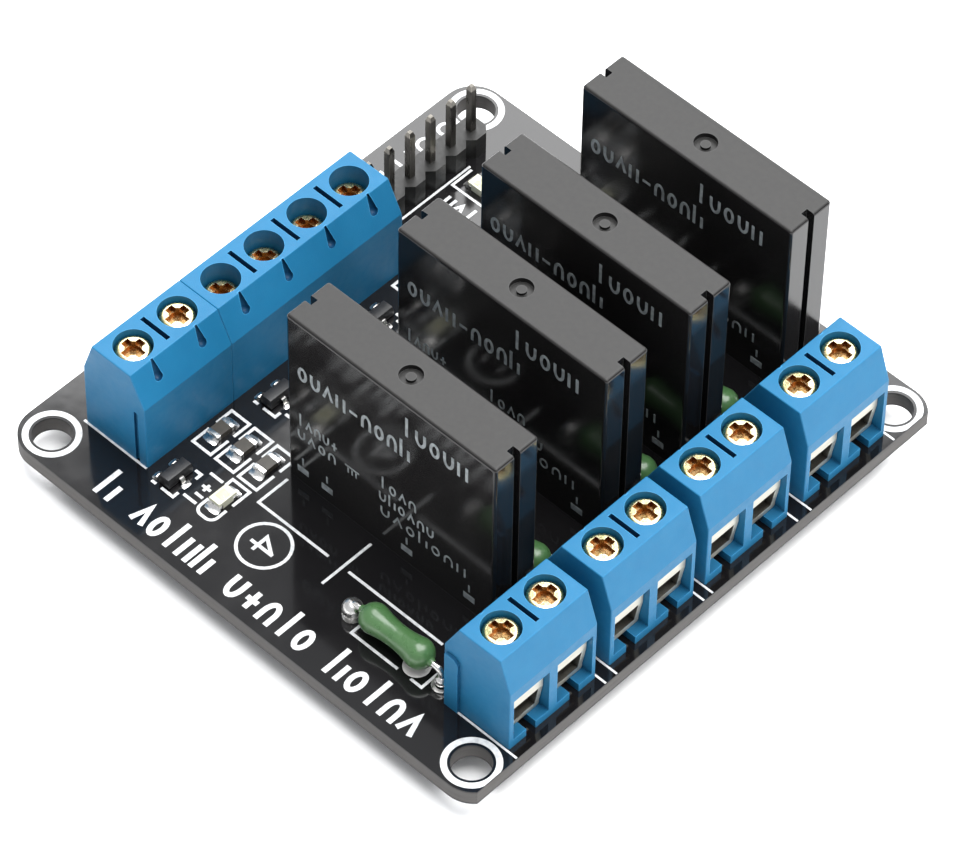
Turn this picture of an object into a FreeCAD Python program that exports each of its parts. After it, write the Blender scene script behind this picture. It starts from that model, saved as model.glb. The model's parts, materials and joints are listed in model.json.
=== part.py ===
"""Four-channel solid state relay module, built as a parametric assembly of separate parts.

Frame: the origin is the centre of the mounting-hole pattern on the board's underside, +Z points up
through the components, +X points from the input terminals to the output terminals.
All sizes are in millimetres and live in the sheet called dims.
"""
import FreeCAD, Part
import math
import os
import re

import Sketcher

CHANNELS = 4
POLES_PER_OUTPUT_BLOCK = 2
INPUT_BLOCKS = {"input_housing_2way": (2, "shoulder_high"), "input_housing_4way": (4, "shoulder_low")}
INPUT_POLES = 6
HEADER_PINS = 6

DIMENSIONS = {
    # How far a cut runs past the face it opens, so that no skin is left
    "overshoot": 0.5,
    # Printed circuit board
    "board_length": 55.0,
    "board_width": 57.0,
    "board_thickness": 1.6,
    "board_corner": 3.0,
    # The board is cut off along its output edge, inside the round of its corners
    "board_trim": 0.75,
    "mount_hole": 3.5,
    "mount_pitch_x": 48.8,
    "mount_pitch_y": 51.4,
    # Solder side: how far the pins reach below the board, and the solder cones round them
    "pin_drop": 2.0,
    "short_pin_drop": 1.7,
    "solder_height": 1.0,
    "solder_foot": 0.95,
    "solder_crown": 0.62,
    # Terminal housings
    "input_back": -16.03,
    "input_start": -22.68,
    "output_back": 18.38,
    "output_start_1": -22.68,
    "output_start_2": -10.86,
    "output_start_3": 0.72,
    "output_start_4": 12.87,
    "pole_pitch": 5.08,
    "block_depth": 7.3,
    "block_height": 10.65,
    "front_inset": 1.15,
    "front_foot": 7.2,
    "back_inset": 1.6,
    "back_foot": 7.4,
    "block_round": 0.12,
    "back_wall": 0.9,
    "front_wall": 0.5,
    "cell_width": 4.16,
    "cell_top": 7.15,
    "mouth_top": 6.0,
    "floor_height": 0.9,
    "floor_gap": 1.12,
    "screw_line": 3.8,
    "well_diameter": 3.45,
    "passage_diameter": 2.62,
    "shoulder_high": 9.1,
    "shoulder_low": 7.75,
    "slot_length": 3.2,
    "slot_width": 0.45,
    "slot_depth": 1.0,
    "dimple_radius": 0.46,
    "dimple_waist": 0.44,
    "dimple_point": 0.2,
    "dimple_length": 1.75,
    "dimple_rise": 0.5,
    "dimple_sink": 0.2,
    "tongue_from": 0.3,
    "tongue_to": 1.75,
    "tongue_height": 6.7,
    "tongue_proud": 0.3,
    "tongue_chamfer": 0.4,
    "groove_from": 0.86,
    "groove_width": 0.5,
    "groove_height": 6.3,
    "groove_depth": 0.25,
    # Rising clamp cages
    "cage_width": 3.96,
    "cage_back": 1.55,
    "cage_front": 6.68,
    "cage_jaw_front": 6.3,
    "cage_bottom": 0.95,
    "cage_top": 5.6,
    "cage_round": 0.35,
    "window_width": 2.9,
    "window_bottom": 1.5,
    "window_top": 3.85,
    # Fixed contacts: a tongue through the cage's window and a leg down through the board
    "contact_width": 2.5,
    "contact_thickness": 0.4,
    "contact_top": 3.45,
    "contact_front": 6.2,
    "leg_back": 0.98,
    "leg_thickness": 0.45,
    "leg_width": 1.0,
    "leg_hole": 1.4,
    # Terminal screws
    "screw_head": 3.15,
    "screw_head_height": 1.1,
    "screw_head_round": 0.42,
    "screw_shank": 2.5,
    "screw_play": 0.1,
    "screw_seat_gap": 0.05,
    "screw_tip": 3.6,
    "screw_point": 0.35,
    "recess_span": 2.2,
    "recess_arm": 0.8,
    "recess_depth": 0.5,
    "recess_core": 1.5,
    "recess_core_depth": 0.85,
    # Relays
    "relay_left": -7.3,
    "relay_line_1": -12.18,
    "relay_line_2": 0.68,
    "relay_line_3": 10.6,
    "relay_line_4": 22.86,
    "relay_length": 23.5,
    "relay_thickness": 5.0,
    "relay_height": 20.3,
    "relay_round": 0.3,
    "relay_end_wall": 1.15,
    "relay_side_wall": 0.6,
    "relay_roof": 1.3,
    "end_slot_width": 0.75,
    "end_slot_depth": 0.85,
    "dot_diameter": 2.1,
    "dot_depth": 0.5,
    "pip_diameter": 0.9,
    "pip_height": 0.3,
    "relay_pin_1": 1.59,
    "relay_pin_2": 4.13,
    "relay_pin_3": 14.29,
    "relay_pin_4": 21.91,
    "relay_pin_width": 0.8,
    "relay_pin_thickness": 0.4,
    "relay_pin_top": 4.6,
    "relay_pin_hole": 1.2,
    "potting_height": 2.6,
    "substrate_margin": 0.5,
    "substrate_thickness": 0.8,
    "substrate_top": 17.5,
    "triac_start": 11.6,
    "triac_side": 5.6,
    "triac_thickness": 0.7,
    "triac_height": 8.0,
    "coupler_start": 3.0,
    "coupler_length": 4.6,
    "coupler_thickness": 1.1,
    "coupler_width": 3.8,
    "coupler_height": 7.0,
    # Pin header
    "header_line": -21.7,
    "header_start": 8.23,
    "header_pitch": 2.54,
    "header_height": 2.4,
    "header_chamfer": 0.65,
    "header_pin": 0.64,
    "header_pin_top": 8.0,
    "header_pin_tip": 0.35,
    "header_pin_point": 0.45,
    "header_hole": 1.0,
    # Fuses: a dog-bone body on two leads
    "fuse_left": 7.1,
    "fuse_lead_pitch": 10.16,
    "fuse_line_1": -21.75,
    "fuse_line_2": -8.1,
    "fuse_line_3": 4.76,
    "fuse_line_4": 14.9,
    "fuse_radius": 1.38,
    "fuse_waist": 1.08,
    "fuse_bulb_offset": 2.5,
    "fuse_clearance": 0.5,
    "fuse_wire": 0.6,
    "fuse_hole": 0.9,
    # Surface-mounted parts of one channel, measured from its resistor row
    "channel_start": -15.6,
    "channel_pitch": 12.0,
    "chip_length": 2.0,
    "chip_width": 1.25,
    "chip_height": 0.55,
    "resistor_start": -14.45,
    "resistor_pitch": 2.72,
    "led_column": -9.05,
    "led_offset": -5.1,
    "led_height": 0.8,
    "power_led_x": -17.6,
    "power_led_y": 19.25,
    "transistor_column": -13.65,
    "transistor_offset": -6.1,
    "transistor_width": 1.3,
    "transistor_length": 2.9,
    "transistor_height": 1.0,
    "transistor_lift": 0.1,
    "foot_reach": 0.55,
    "foot_width": 0.42,
    "foot_thickness": 0.15,
    "foot_spread": 0.95,
}

document = FreeCAD.newDocument("relay_module")
sub_parts = []


# ---------------------------------------------------------------- sheet and expressions

def fill_sheet():
    """Put every driving dimension in the sheet under its own name."""
    sheet = document.addObject("Spreadsheet::Sheet", "dims")
    for row, (alias, value) in enumerate(DIMENSIONS.items(), start=1):
        sheet.set(f"A{row}", alias)
        sheet.set(f"B{row}", str(value))
        sheet.setAlias(f"B{row}", alias)
    document.recompute()


def linked(expression):
    """Point each dimension named in an expression at its cell in the sheet."""
    def cell(match):
        word = match.group()
        return f"dims.{word}" if word in DIMENSIONS else word
    return re.sub(r"[a-z]\w*", cell, str(expression))


def bind(item, path, expression):
    """Drive one property of a document object from the sheet."""
    item.setExpression(path, linked(expression))


def bind_place(item, x, y, z):
    """Drive the position of an object from the sheet."""
    for axis, expression in zip("xyz", (x, y, z)):
        bind(item, f"Placement.Base.{axis}", expression)


def finished(item, label):
    """Name an object as a sub-part that is written to its own file."""
    item.Label = label
    sub_parts.append(item)
    return item


# ---------------------------------------------------------------- sketches and features

def new_body(name):
    return document.addObject("PartDesign::Body", name)


def new_sketch(body, plane, offset="0"):
    """Start a sketch on one of the body's own origin planes, moved along the plane's normal."""
    sketch = body.newObject("Sketcher::SketchObject", "sketch")
    support = next(item for item in body.Origin.OriginFeatures if item.Role == plane)
    sketch.AttachmentSupport = [(support, "")]
    sketch.MapMode = "FlatFace"
    bind(sketch, "AttachmentOffset.Base.z", offset)
    return sketch


def hold(sketch, kind, references, value, expression):
    """Add a dimension to a sketch and drive it from the sheet."""
    index = sketch.addConstraint(Sketcher.Constraint(kind, *references, value))
    bind(sketch, f"Constraints[{index}]", expression)


def hold_point(sketch, geometry, end, start_value, x, y):
    """Fix a point of a sketch at two expressions, measured from the sketch's origin."""
    hold(sketch, "DistanceX", (-1, 1, geometry, end), start_value.x, x)
    hold(sketch, "DistanceY", (-1, 1, geometry, end), start_value.y, y)


def outline(sketch, corners):
    """Draw a closed polygon whose corners are pairs of expressions."""
    count = len(corners)
    first = sketch.GeometryCount
    # The corners start on a circle, and the dimensions then pull them into place.
    angles = [2 * math.pi * index / count + 0.1 for index in range(count)]
    places = [FreeCAD.Vector(math.cos(angle), math.sin(angle), 0) for angle in angles]
    for index in range(count):
        sketch.addGeometry(Part.LineSegment(places[index], places[(index + 1) % count]))
    for index, (x, y) in enumerate(corners):
        following = first + (index + 1) % count
        sketch.addConstraint(Sketcher.Constraint("Coincident", first + index, 2, following, 1))
        hold_point(sketch, first + index, 1, places[index], x, y)


def rectangle(sketch, left, right, bottom, top):
    outline(sketch, [(left, bottom), (right, bottom), (right, top), (left, top)])


def circle(sketch, x, y, diameter):
    centre = FreeCAD.Vector(0.5, 0.5, 0)
    index = sketch.addGeometry(Part.Circle(centre, FreeCAD.Vector(0, 0, 1), 1))
    hold_point(sketch, index, 3, centre, x, y)
    hold(sketch, "Diameter", (index,), 2.0, diameter)


def pad(body, sketch, length, reverse=False):
    feature = body.newObject("PartDesign::Pad", "pad")
    feature.Profile = sketch
    feature.Reversed = reverse
    bind(feature, "Length", length)
    document.recompute()
    return feature


def pocket(body, sketch, depth, reverse=False):
    """Cut a sketch into a body and make sure that something was cut."""
    before = body.Shape.Volume
    feature = body.newObject("PartDesign::Pocket", "pocket")
    feature.Profile = sketch
    feature.Reversed = reverse
    bind(feature, "Length", depth)
    document.recompute()
    if body.Shape.Volume > before - 1e-6:
        raise RuntimeError(f"a pocket of {body.Name} cut nothing")
    return feature


def soften(body, kind, size, wanted):
    """Fillet or chamfer the edges of a body that a test accepts."""
    base = body.Tip
    names = [f"Edge{index}" for index, edge in enumerate(base.Shape.Edges, start=1) if wanted(edge)]
    feature = body.newObject(f"PartDesign::{kind}", kind.lower())
    feature.Base = (base, names)
    bind(feature, "Radius" if kind == "Fillet" else "Size", size)
    document.recompute()
    return feature


def above(height):
    """A test for edges that lie wholly above a height."""
    return lambda edge: edge.BoundBox.ZMin > height + 1e-6


# ---------------------------------------------------------------- primitives

def box(corner, size, name="block"):
    """A plain block: its lowest corner and its size, as expressions."""
    item = document.addObject("Part::Box", name)
    for side, expression in zip(("Length", "Width", "Height"), size):
        bind(item, side, expression)
    bind_place(item, *corner)
    return item


def upright(kind, x, y, z, height, **radii):
    """A cylinder or cone that stands along Z."""
    item = document.addObject(f"Part::{kind}", kind.lower())
    for name, expression in radii.items():
        bind(item, name, expression)
    bind(item, "Height", height)
    bind_place(item, x, y, z)
    return item


def boolean(kind, base, tool):
    item = document.addObject(f"Part::{kind}", kind.lower())
    item.Base = base
    item.Tool = tool
    return item


def group(name, members):
    """Several separate solids that share one node."""
    item = document.addObject("Part::Compound", name)
    item.Links = members
    return finished(item, name)


# ---------------------------------------------------------------- where things stand

def output_pole(block, pole):
    return f"output_start_{block + 1} + pole_pitch * ({pole} + 0.5)"


def input_pole(pole):
    return f"input_start + pole_pitch * ({pole} + 0.5)"


def relay_line(channel):
    return f"relay_line_{channel + 1}"


def relay_pin(pin):
    return f"relay_left + relay_pin_{pin + 1}"


def header_pin(pin):
    return f"header_start + header_pitch * ({pin} + 0.5)"


def fuse_line(channel):
    return f"fuse_line_{channel + 1}"


def channel_row(channel):
    return f"channel_start + channel_pitch * {channel}"


def through_pins():
    """Every pin that passes through the board: place, size along X and Y, hole, and drop."""
    pins = []
    leg = ("leg_thickness", "leg_width", "leg_hole", "pin_drop")
    for pole in range(INPUT_POLES):
        pins.append(("input_back - leg_back - leg_thickness / 2", input_pole(pole), *leg))
    for block in range(CHANNELS):
        for pole in range(POLES_PER_OUTPUT_BLOCK):
            pins.append(("output_back + leg_back + leg_thickness / 2", output_pole(block, pole), *leg))
    lead = ("relay_pin_width", "relay_pin_thickness", "relay_pin_hole", "pin_drop")
    for channel in range(CHANNELS):
        for pin in range(4):
            lead_line = f"{relay_line(channel)} + (substrate_thickness + relay_pin_thickness) / 2"
            pins.append((relay_pin(pin), lead_line, *lead))
    post = ("header_pin", "header_pin", "header_hole", "short_pin_drop")
    for pin in range(HEADER_PINS):
        pins.append(("header_line", header_pin(pin), *post))
    wire = ("fuse_wire", "fuse_wire", "fuse_hole", "short_pin_drop")
    for channel in range(CHANNELS):
        for end in range(2):
            pins.append((f"fuse_left + fuse_lead_pitch * {end}", fuse_line(channel), *wire))
    return pins


# ---------------------------------------------------------------- board and solder

def make_board():
    body = new_body("board")
    plate = new_sketch(body, "XY_Plane")
    rectangle(plate, "-board_length / 2", "board_length / 2", "-board_width / 2", "board_width / 2")
    pad(body, plate, "board_thickness")
    soften(body, "Fillet", "board_corner", lambda edge: edge.BoundBox.ZLength > 1)
    strip = new_sketch(body, "XY_Plane", "board_thickness")
    rectangle(strip, "board_length / 2 - board_trim", "board_length / 2 + overshoot",
              "-board_width / 2 - overshoot", "board_width / 2 + overshoot")
    pocket(body, strip, "board_thickness")
    mounts = new_sketch(body, "XY_Plane", "board_thickness")
    for x_side in (-1, 1):
        for y_side in (-1, 1):
            circle(mounts, f"{x_side} * mount_pitch_x / 2", f"{y_side} * mount_pitch_y / 2", "mount_hole")
    pocket(body, mounts, "board_thickness")
    holes = new_sketch(body, "XY_Plane", "board_thickness")
    for x, y, _, _, hole, _ in through_pins():
        circle(holes, x, y, hole)
    pocket(body, holes, "board_thickness")
    finished(body, "circuit_board")


def make_solder():
    """A cone of solder round each pin on the board's underside."""
    cones = []
    for x, y, size_x, size_y, _, _ in through_pins():
        cone = upright("Cone", x, y, "-solder_height", "solder_height",
                       Radius1="solder_crown", Radius2="solder_foot")
        core = box((f"{x} - {size_x} / 2", f"{y} - {size_y} / 2", "-solder_height - overshoot"),
                   (size_x, size_y, "solder_height + overshoot * 2"))
        cones.append(boolean("Cut", cone, core))
    group("solder_joints", cones)


# ---------------------------------------------------------------- terminal blocks

def make_housing(name, poles, shoulder, tongue):
    """A moulded terminal housing: X runs from its back to its wire mouths, Y along its poles."""
    body = new_body(name)
    length = f"pole_pitch * {poles}"
    profile = new_sketch(body, "XZ_Plane")
    outline(profile, [
        ("0", "0"), ("block_depth", "0"), ("block_depth", "front_foot"),
        ("block_depth - front_inset", "block_height"), ("back_inset", "block_height"),
        ("0", "back_foot"),
    ])
    pad(body, profile, length, reverse=True)
    soften(body, "Fillet", "block_round", lambda edge: edge.BoundBox.ZMax > 1e-6)
    centres = [f"pole_pitch * ({pole} + 0.5)" for pole in range(poles)]

    cells = new_sketch(body, "XY_Plane", "cell_top")
    mouths = new_sketch(body, "YZ_Plane", "block_depth")
    gaps = new_sketch(body, "XY_Plane", "floor_height")
    wells = new_sketch(body, "XY_Plane", "block_height")
    passages = new_sketch(body, "XY_Plane", shoulder)
    for centre in centres:
        low, high = f"{centre} - cell_width / 2", f"{centre} + cell_width / 2"
        rectangle(cells, "back_wall", "block_depth - front_wall", low, high)
        rectangle(mouths, low, high, "floor_height", "mouth_top")
        rectangle(gaps, "back_wall", "block_depth", f"{centre} - floor_gap / 2", f"{centre} + floor_gap / 2")
        circle(wells, "screw_line", centre, "well_diameter")
        circle(passages, "screw_line", centre, "passage_diameter")
    pocket(body, mouths, "front_wall * 2")
    pocket(body, cells, "cell_top - floor_height")
    pocket(body, gaps, "floor_height")
    pocket(body, wells, f"block_height - {shoulder}")
    pocket(body, passages, f"{shoulder} - cell_top + overshoot")
    for centre in centres:
        dimple(body, centre)

    slots = new_sketch(body, "XY_Plane", "block_height")
    for seam in range(1, poles):
        middle = f"pole_pitch * {seam}"
        rectangle(slots, "screw_line - slot_length / 2", "screw_line + slot_length / 2",
                  f"{middle} - slot_width / 2", f"{middle} + slot_width / 2")
    pocket(body, slots, "slot_depth")

    groove = new_sketch(body, "XZ_Plane", f"-({length})")
    rectangle(groove, "groove_from", "groove_from + groove_width", "0", "groove_height")
    pocket(body, groove, "groove_depth", reverse=True)
    if tongue:
        rib = new_sketch(body, "XZ_Plane")
        outline(rib, [
            ("tongue_from", "0"), ("tongue_to", "0"), ("tongue_to", "tongue_height - tongue_chamfer"),
            ("tongue_to - tongue_chamfer", "tongue_height"), ("tongue_from", "tongue_height"),
        ])
        pad(body, rib, "tongue_proud")
    return finished(body, name)


def dimple(body, centre):
    """Sink a drop-shaped hollow into the housing's back slope, round below and pointed above."""
    rise = DIMENSIONS["block_height"] - DIMENSIONS["back_foot"]
    lean = math.degrees(math.atan2(DIMENSIONS["back_inset"], rise))
    sizes = {
        "Cone": {"Radius1": "dimple_waist", "Radius2": "dimple_point", "Height": "dimple_length"},
        "Sphere": {"Radius": "dimple_radius"},
    }
    for kind, values in sizes.items():
        feature = body.newObject(f"PartDesign::Subtractive{kind}", f"dimple_{kind.lower()}")
        feature.Placement.Rotation = FreeCAD.Rotation(FreeCAD.Vector(0, 1, 0), lean)
        for name, value in values.items():
            bind(feature, name, value)
        bind_place(feature, "back_inset * dimple_rise + dimple_sink", centre,
                   "back_foot + (block_height - back_foot) * dimple_rise")
        document.recompute()


def make_housings():
    start = 0
    for name, (poles, shoulder) in INPUT_BLOCKS.items():
        housing = make_housing(name, poles, shoulder, tongue=start > 0)
        housing.Placement.Rotation = FreeCAD.Rotation(FreeCAD.Vector(0, 0, 1), 180)
        start += poles
        bind_place(housing, "input_back", f"input_start + pole_pitch * {start}", "board_thickness")
    for block in range(CHANNELS):
        name = f"output_housing_{block + 1}"
        housing = make_housing(name, POLES_PER_OUTPUT_BLOCK, "shoulder_high", tongue=True)
        bind_place(housing, "output_back", f"output_start_{block + 1}", "board_thickness")


def make_cage(name, x, y, turned):
    """A steel clamp cage: a ring round the wire space with a hole for the screw in its top bar."""
    body = new_body(name)
    ring = new_sketch(body, "YZ_Plane", "cage_back - screw_line")
    rectangle(ring, "-cage_width / 2", "cage_width / 2", "cage_bottom", "cage_top")
    rectangle(ring, "-window_width / 2", "window_width / 2", "window_bottom", "window_top")
    pad(body, ring, "cage_front - cage_back")
    half = DIMENSIONS["cage_width"] / 2
    soften(body, "Fillet", "cage_round",
           lambda edge: edge.BoundBox.XLength > 1 and abs(abs(edge.BoundBox.YMin) - half) < 1e-3)
    rake = new_sketch(body, "XZ_Plane", "-cage_width")
    below, beyond = "cage_bottom - overshoot", "cage_front - screw_line + overshoot"
    outline(rake, [
        ("cage_jaw_front - screw_line", below), (beyond, below), (beyond, "window_top"),
        ("cage_front - screw_line", "window_top"), ("cage_jaw_front - screw_line", "window_bottom"),
    ])
    pocket(body, rake, "cage_width * 2", reverse=True)
    bore = new_sketch(body, "XY_Plane", "cage_top")
    circle(bore, "0", "0", "screw_shank + screw_play")
    pocket(body, bore, "cage_top - window_top")
    if turned:
        body.Placement.Rotation = FreeCAD.Rotation(FreeCAD.Vector(0, 0, 1), 180)
    bind_place(body, x, y, "board_thickness")
    finished(body, name)


def make_screw(name, x, y, shoulder):
    """A cross-recessed terminal screw that hangs by its head on the housing's shoulder."""
    body = new_body(name)
    seat = f"{shoulder} + screw_seat_gap"
    head = new_sketch(body, "XY_Plane", seat)
    circle(head, "0", "0", "screw_head")
    pad(body, head, "screw_head_height")
    half_head = DIMENSIONS[shoulder] + DIMENSIONS["screw_head_height"] / 2
    soften(body, "Fillet", "screw_head_round", above(half_head))
    shank = new_sketch(body, "XY_Plane", seat)
    circle(shank, "0", "0", "screw_shank")
    pad(body, shank, f"{seat} - screw_tip", reverse=True)
    tip = DIMENSIONS["screw_tip"] + 1e-3
    soften(body, "Chamfer", "screw_point", lambda edge: edge.BoundBox.ZMax < tip)
    cross = new_sketch(body, "XY_Plane", f"{seat} + screw_head_height")
    reach, arm = "recess_span / 2", "recess_arm / 2"
    outline(cross, [
        (reach, f"-{arm}"), (reach, arm), (arm, arm), (arm, reach),
        (f"-{arm}", reach), (f"-{arm}", arm), (f"-{reach}", arm), (f"-{reach}", f"-{arm}"),
        (f"-{arm}", f"-{arm}"), (f"-{arm}", f"-{reach}"), (arm, f"-{reach}"), (arm, f"-{arm}"),
    ])
    pocket(body, cross, "recess_depth")
    core = new_sketch(body, "XY_Plane", f"{seat} + screw_head_height")
    circle(core, "0", "0", "recess_core")
    pocket(body, core, "recess_core_depth")
    bind_place(body, x, y, "board_thickness")
    finished(body, name)


def make_clamps():
    """One screw and one cage in every pole."""
    shoulders = [shoulder for poles, shoulder in INPUT_BLOCKS.values() for _ in range(poles)]
    for pole, shoulder in enumerate(shoulders):
        axis = "input_back - screw_line"
        make_screw(f"input_screw_{pole + 1}", axis, input_pole(pole), shoulder)
        make_cage(f"input_cage_{pole + 1}", axis, input_pole(pole), turned=True)
    for block in range(CHANNELS):
        for pole in range(POLES_PER_OUTPUT_BLOCK):
            number = block * POLES_PER_OUTPUT_BLOCK + pole + 1
            axis = "output_back + screw_line"
            make_screw(f"output_screw_{number}", axis, output_pole(block, pole), "shoulder_high")
            make_cage(f"output_cage_{number}", axis, output_pole(block, pole), turned=False)


def contact(back, side, y):
    """A contact: side is 1 where the housing opens towards +X and -1 where it opens towards -X."""
    tongue_near = "leg_back" if side > 0 else "-contact_front"
    leg_near = "leg_back" if side > 0 else "-leg_back - leg_thickness"
    tongue = box((f"{back} + {tongue_near}", f"{y} - contact_width / 2",
                  "board_thickness + contact_top - contact_thickness"),
                 ("contact_front - leg_back", "contact_width", "contact_thickness"))
    leg = box((f"{back} + {leg_near}", f"{y} - leg_width / 2", "-pin_drop"),
              ("leg_thickness", "leg_width", "board_thickness + contact_top + pin_drop"))
    return boolean("Fuse", tongue, leg)


def make_contacts():
    group("input_contacts", [contact("input_back", -1, input_pole(pole)) for pole in range(INPUT_POLES)])
    places = [output_pole(block, pole) for block in range(CHANNELS) for pole in range(POLES_PER_OUTPUT_BLOCK)]
    group("output_contacts", [contact("output_back", 1, place) for place in places])


# ---------------------------------------------------------------- relays

def make_relay_case(channel):
    """The moulded case: open below, with a slot down each end and a moulding dot on top."""
    body = new_body(f"relay_case_{channel + 1}")
    half = "relay_thickness / 2"
    block = new_sketch(body, "XY_Plane")
    rectangle(block, "0", "relay_length", f"-{half}", half)
    pad(body, block, "relay_height")
    soften(body, "Fillet", "relay_round", lambda edge: edge.BoundBox.ZMax > 1e-6)
    slots = new_sketch(body, "XY_Plane", "relay_height")
    rectangle(slots, "-overshoot", "end_slot_depth", "-end_slot_width / 2", "end_slot_width / 2")
    rectangle(slots, "relay_length - end_slot_depth", "relay_length + overshoot",
              "-end_slot_width / 2", "end_slot_width / 2")
    pocket(body, slots, "relay_height")
    dot = new_sketch(body, "XY_Plane", "relay_height")
    circle(dot, "relay_length / 2", "0", "dot_diameter")
    pocket(body, dot, "dot_depth")
    pip = new_sketch(body, "XY_Plane", "relay_height - dot_depth")
    circle(pip, "relay_length / 2", "0", "pip_diameter")
    pad(body, pip, "pip_height")
    hollow = new_sketch(body, "XY_Plane")
    rectangle(hollow, "relay_end_wall", "relay_length - relay_end_wall",
              f"relay_side_wall - {half}", f"{half} - relay_side_wall")
    pocket(body, hollow, "relay_height - relay_roof", reverse=True)
    bind_place(body, "relay_left", relay_line(channel), "board_thickness")
    finished(body, f"relay_case_{channel + 1}")


def make_relay_insides():
    """Leads, ceramic substrate, triac, optocoupler and potting of each relay."""
    leads, substrates, triacs, couplers, pottings = [], [], [], [], []
    room = "relay_thickness - relay_side_wall * 2"
    inner = "relay_left + relay_end_wall"
    span = "relay_length - relay_end_wall * 2"
    base = "board_thickness"
    for channel in range(CHANNELS):
        line = relay_line(channel)
        front = f"{line} + substrate_thickness / 2"
        potting = box((inner, f"{line} - ({room}) / 2", base), (span, room, "potting_height"))
        for pin in range(4):
            corner = (f"{relay_pin(pin)} - relay_pin_width / 2", front, "-pin_drop")
            size = ("relay_pin_width", "relay_pin_thickness", f"pin_drop + {base} + relay_pin_top")
            leads.append(box(corner, size))
            potting = boolean("Cut", potting, box(corner, size))
        pottings.append(potting)
        substrates.append(box(
            (f"{inner} + substrate_margin", f"{line} - substrate_thickness / 2", f"{base} + potting_height"),
            (f"{span} - substrate_margin * 2", "substrate_thickness", "substrate_top - potting_height")))
        triacs.append(box(
            (f"{inner} + triac_start", front, f"{base} + triac_height"),
            ("triac_side", "triac_thickness", "triac_side")))
        couplers.append(box(
            (f"{inner} + coupler_start", front, f"{base} + coupler_height"),
            ("coupler_length", "coupler_thickness", "coupler_width")))
    group("relay_leads", leads)
    group("relay_substrates", substrates)
    group("relay_triacs", triacs)
    group("relay_optocouplers", couplers)
    group("relay_potting", pottings)


# ---------------------------------------------------------------- header

def make_header_base():
    """A strip of square segments with their corners cut, which leaves notches between them."""
    body = new_body("header_base")
    cut, side = "header_chamfer", "header_pitch / 2"
    segments = new_sketch(body, "XY_Plane")
    outline(segments, [
        (f"{side} - {cut}", f"-{side}"), (side, f"{cut} - {side}"), (side, f"{side} - {cut}"),
        (f"{side} - {cut}", side), (f"{cut} - {side}", side), (f"-{side}", f"{side} - {cut}"),
        (f"-{side}", f"{cut} - {side}"), (f"{cut} - {side}", f"-{side}"),
    ])
    segment = pad(body, segments, "header_height")
    window = new_sketch(body, "XY_Plane", "header_height")
    rectangle(window, "-header_pin / 2", "header_pin / 2", "-header_pin / 2", "header_pin / 2")
    hole = pocket(body, window, "header_height")
    strip = body.newObject("PartDesign::LinearPattern", "strip")
    strip.Originals = [segment, hole]
    strip.Direction = (segments, ["V_Axis"])
    strip.Occurrences = HEADER_PINS
    bind(strip, "Length", f"header_pitch * {HEADER_PINS - 1}")
    body.Tip = strip
    document.recompute()
    bind_place(body, "header_line", "header_start + header_pitch / 2", "board_thickness")
    finished(body, "header_base")


def make_header_pins():
    pins = []
    shaft_top = "board_thickness + header_pin_top - header_pin_point"
    for pin in range(HEADER_PINS):
        corner = ("header_line - header_pin / 2", f"{header_pin(pin)} - header_pin / 2", "-short_pin_drop")
        shaft = box(corner, ("header_pin", "header_pin", f"{shaft_top} + short_pin_drop"))
        point = document.addObject("Part::Wedge", "point")
        # A wedge tapers along its own Y, so it is turned to taper upwards.
        point.Placement.Rotation = FreeCAD.Rotation(FreeCAD.Vector(1, 0, 0), 90)
        for side in ("Xmin", "Zmin"):
            bind(point, side, "-header_pin / 2")
        for side in ("Xmax", "Zmax"):
            bind(point, side, "header_pin / 2")
        for side in ("X2min", "Z2min"):
            bind(point, side, "-header_pin_tip / 2")
        for side in ("X2max", "Z2max"):
            bind(point, side, "header_pin_tip / 2")
        bind(point, "Ymin", "0")
        bind(point, "Ymax", "header_pin_point")
        bind_place(point, "header_line", header_pin(pin), shaft_top)
        pins.append(boolean("Fuse", shaft, point))
    group("header_pins", pins)


# ---------------------------------------------------------------- fuses

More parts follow.
